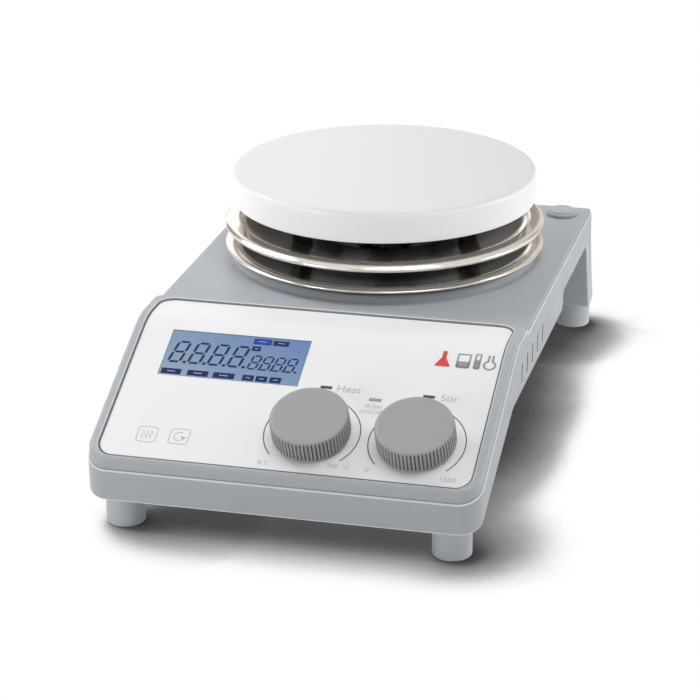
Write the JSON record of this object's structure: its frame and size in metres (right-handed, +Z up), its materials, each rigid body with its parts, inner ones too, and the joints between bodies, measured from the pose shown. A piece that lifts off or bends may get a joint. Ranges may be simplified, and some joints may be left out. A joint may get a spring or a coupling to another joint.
{
  "type": "magnetic stirrer",
  "caption": "Hotplate magnetic stirrer: low wedge housing on four feet, sloping control panel with display and two push-turn knobs, round white work plate over polished heat shields.",
  "frame": {"origin": "on the bench plane, in the middle of the footprint; the axis of the round work plate stands 37.61 mm behind it", "axes": "+Z up, -Y towards the control panel (the user), +X to the user's right"},
  "size_m": [0.162, 0.2884, 0.1041],
  "materials": {
    "housing": "fine-textured moulded plastic, cool grey",
    "cover": "moulded plastic, darker grey",
    "rod_plug": "soft moulded plug",
    "knob": "moulded knob, satin face and fine ribs",
    "label": "printed white film, satin",
    "display_window": "clear polished window",
    "display_module": "display module, moulded frame",
    "board": "glass-fibre circuit board with solder mask",
    "lamp": "smoked light pipe",
    "black_plastic": "black moulded plastic",
    "foot": "grey rubber foot",
    "plate": "white ceramic-coated plate, smooth",
    "polished_steel": "mirror-polished stainless sheet",
    "zinc_steel": "bright zinc-plated steel",
    "rotor": "turned aluminium",
    "magnet": "nickel-plated magnet",
    "heater": "cast heating body, oxidised",
    "fibre": "white glass and ceramic fibre",
    "brass": "turned brass"
  },
  "bodies": {
    "housing": {"upper_housing": "housing", "lower_housing": "housing", "bottom_cover": "cover", "panel_label": "label", "display_window": "display_window", "display_module": "display_module", "control_board": "board", "main_board": "board", "heat_lamp": "lamp", "stir_lamp": "lamp", "power_lamp": "lamp", "heat_encoder": "black_plastic", "stir_encoder": "black_plastic", "power_inlet": "black_plastic", "switch_frame": "black_plastic", "foot_front_left": "foot", "foot_front_right": "foot", "foot_rear_left": "foot", "foot_rear_right": "foot", "work_plate": "plate", "upper_heat_shield": "polished_steel", "lower_heat_shield": "polished_steel", "foot_screw_front_left": "zinc_steel", "foot_screw_front_right": "zinc_steel", "foot_screw_rear_left": "zinc_steel", "foot_screw_rear_right": "zinc_steel", "cover_screw_1": "zinc_steel", "cover_screw_2": "zinc_steel", "cover_screw_3": "zinc_steel", "cover_screw_4": "zinc_steel", "retainer_plate": "zinc_steel", "temperature_sensor": "zinc_steel", "shield_spacer_1": "zinc_steel", "shield_spacer_2": "zinc_steel", "shield_spacer_3": "zinc_steel", "plate_stud_1": "zinc_steel", "plate_stud_2": "zinc_steel", "plate_stud_3": "zinc_steel", "motor_body": "zinc_steel", "motor_bearing": "zinc_steel", "motor_bracket": "zinc_steel", "rod_socket": "zinc_steel", "serial_socket": "zinc_steel", "heating_element": "heater", "insulation_blanket": "fibre", "heater_lead": "fibre", "probe_socket": "brass"},
    "heat_push": {"heat_push_button": "black_plastic"},
    "heat_dial": {"heat_knob": "knob", "heat_shaft": "zinc_steel"},
    "stir_push": {"stir_push_button": "black_plastic"},
    "stir_dial": {"stir_knob": "knob", "stir_shaft": "zinc_steel"},
    "magnet_rotor": {"motor_shaft": "zinc_steel", "magnet_carrier": "rotor", "magnet_north": "magnet", "magnet_south": "magnet"},
    "power_rocker": {"power_rocker": "black_plastic"},
    "fuse_drawer": {"fuse_drawer": "black_plastic"},
    "rod_plug": {"rod_hole_plug": "rod_plug"}
  },
  "joints": [
    {"name": "heat_push", "type": "slide", "parent": "housing", "child": "heat_push", "axis": [0, 0.4195, -0.9078], "range_m": [0, 0.0008], "stiffness_N_per_m": 1500},
    {"name": "heat_turn", "type": "hinge", "parent": "heat_push", "child": "heat_dial", "pos_m": [0.0083, -0.12166, 0.0416], "axis": [0, -0.4195, 0.9078], "continuous": true},
    {"name": "stir_push", "type": "slide", "parent": "housing", "child": "stir_push", "axis": [0, 0.4195, -0.9078], "range_m": [0, 0.0008], "stiffness_N_per_m": 1500},
    {"name": "stir_turn", "type": "hinge", "parent": "stir_push", "child": "stir_dial", "pos_m": [0.0511, -0.12157, 0.04164], "axis": [0, -0.4195, 0.9078], "continuous": true},
    {"name": "magnet_spin", "type": "hinge", "parent": "housing", "child": "magnet_rotor", "pos_m": [0, 0.03761, 0.08], "axis": [0, 0, 1], "continuous": true},
    {"name": "power_switch", "type": "hinge", "parent": "housing", "child": "power_rocker", "pos_m": [-0.005, 0.13319, 0.03736], "axis": [-1, 0, 0], "range_deg": [0, 14]},
    {"name": "fuse_pull", "type": "slide", "parent": "housing", "child": "fuse_drawer", "axis": [0, 0.9201, 0.3917], "range_m": [0, 0.014]},
    {"name": "plug_lift", "type": "slide", "parent": "housing", "child": "rod_plug", "axis": [0, 0, 1], "range_m": [0, 0.012]}
  ]
}
